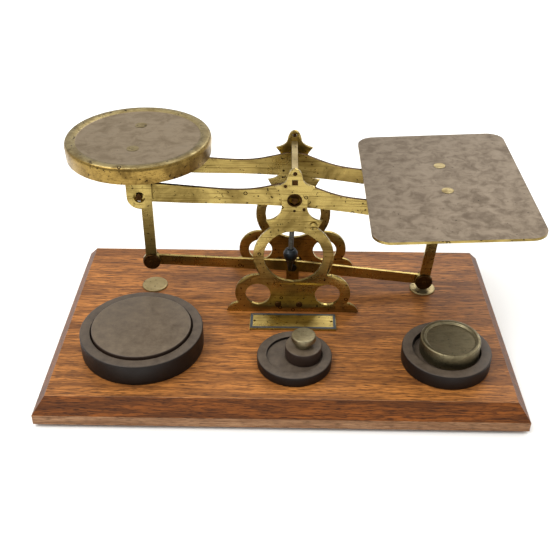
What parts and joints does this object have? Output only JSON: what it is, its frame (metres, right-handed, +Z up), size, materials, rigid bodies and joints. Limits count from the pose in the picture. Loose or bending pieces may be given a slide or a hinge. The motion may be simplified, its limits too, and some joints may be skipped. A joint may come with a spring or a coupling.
{
  "type": "letter scale",
  "caption": "Desk letter scale: fretted brass stand on an oak board, equal-armed beam with round pan and flat letter plate, lower link, cups and disc weights.",
  "frame": {"origin": "centre of the felt's underside, on the table", "axes": "+X from the round pan to the letter plate, +Y away from the user, +Z up"},
  "size_m": [0.2443, 0.1523, 0.1092],
  "materials": {
    "oak": "varnished oak, straight grain along the length",
    "felt": "dark pressed felt",
    "brass": "aged lacquered brass, spotted and softly polished",
    "worn_brass": "tarnished brass with bright worn edges",
    "dark_brass": "brass with a dark brown japanned coat",
    "dark_cup": "near-black brown moulded composition, satin",
    "dark_steel": "oiled dark steel"
  },
  "bodies": {
    "stand": {"felt_pad": "felt", "base_board": "oak", "weight_cup_left": "dark_cup", "weight_cup_middle": "dark_cup", "weight_cup_right": "dark_cup", "cup_screw_left": "dark_steel", "cup_screw_middle": "dark_steel", "cup_screw_right": "dark_steel", "frame_plate_front": "brass", "frame_plate_rear": "brass", "hub_bearing_front": "dark_steel", "hub_bearing_rear": "dark_steel", "foot_bracket_front": "brass", "foot_bracket_rear": "brass", "foot_rivet_front_1": "dark_steel", "foot_rivet_front_2": "dark_steel", "foot_rivet_rear_1": "dark_steel", "foot_rivet_rear_2": "dark_steel", "foot_screw_front_1": "dark_steel", "foot_screw_front_2": "dark_steel", "foot_screw_rear_1": "dark_steel", "foot_screw_rear_2": "dark_steel", "top_spacer_bar": "brass", "shoulder_screw": "brass", "stay_post": "brass", "stay_post_screw": "dark_steel", "stay_pivot_pin": "dark_steel", "nameplate": "brass", "stop_left": "brass", "stop_right": "brass", "finial_pin_front": "dark_steel", "finial_pin_rear": "dark_steel", "plate_pin_1": "dark_steel", "plate_pin_2": "dark_steel"},
    "beam": {"beam_plate_front": "brass", "beam_plate_rear": "brass", "centre_knife": "dark_steel", "end_knife_left": "dark_steel", "end_knife_right": "dark_steel", "pointer_rod": "dark_steel", "gravity_bob": "dark_steel"},
    "round_pan_support": {"yoke_left": "brass", "leg_left": "brass", "leg_pin_left": "dark_steel", "pan_rivet_left_front": "brass", "pan_rivet_left_rear": "brass", "round_pan": "worn_brass"},
    "letter_plate_support": {"yoke_right": "brass", "leg_right": "brass", "leg_pin_right": "dark_steel", "pan_rivet_right_front": "brass", "pan_rivet_right_rear": "brass", "letter_plate": "worn_brass"},
    "stay": {"stay_bar": "brass"},
    "four_ounce": {"weight_4_oz": "dark_brass"},
    "two_ounce": {"weight_2_oz": "worn_brass"},
    "half_ounce": {"weight_half_oz": "dark_brass"},
    "quarter_ounce": {"weight_quarter_oz": "worn_brass"}
  },
  "joints": [
    {"name": "beam_tilt", "type": "hinge", "parent": "stand", "child": "beam", "pos_m": [0.0056, 0.0271, 0.0823], "axis": [0, -1, 0], "range_deg": [0, 8.4]},
    {"name": "left_support_pivot", "type": "hinge", "parent": "beam", "child": "round_pan_support", "pos_m": [-0.0733, 0.0271, 0.08649], "axis": [0, -1, 0], "range_deg": [-8.4, 0]},
    {"name": "right_support_pivot", "type": "hinge", "parent": "beam", "child": "letter_plate_support", "pos_m": [0.08427, 0.0271, 0.07492], "axis": [0, -1, 0], "range_deg": [-8.4, 0]},
    {"name": "stay_pivot", "type": "hinge", "parent": "stand", "child": "stay", "pos_m": [0.0056, 0.0271, 0.0292], "axis": [0, -1, 0], "range_deg": [0, 8.4]},
    {"name": "four_ounce_lift", "type": "slide", "parent": "stand", "child": "four_ounce", "axis": [0, 0, 1], "range_m": [0, 0.03]},
    {"name": "two_ounce_lift", "type": "slide", "parent": "stand", "child": "two_ounce", "axis": [0, 0, 1], "range_m": [0, 0.03]},
    {"name": "half_ounce_lift", "type": "slide", "parent": "stand", "child": "half_ounce", "axis": [0, 0, 1], "range_m": [0, 0.03]},
    {"name": "quarter_ounce_lift", "type": "slide", "parent": "half_ounce", "child": "quarter_ounce", "axis": [0, 0, 1], "range_m": [0, 0.03]}
  ],
  "couplings": [
    {"joint": "left_support_pivot", "follows": "beam_tilt", "ratio": -1},
    {"joint": "right_support_pivot", "follows": "beam_tilt", "ratio": -1},
    {"joint": "stay_pivot", "follows": "beam_tilt", "ratio": 1}
  ]
}
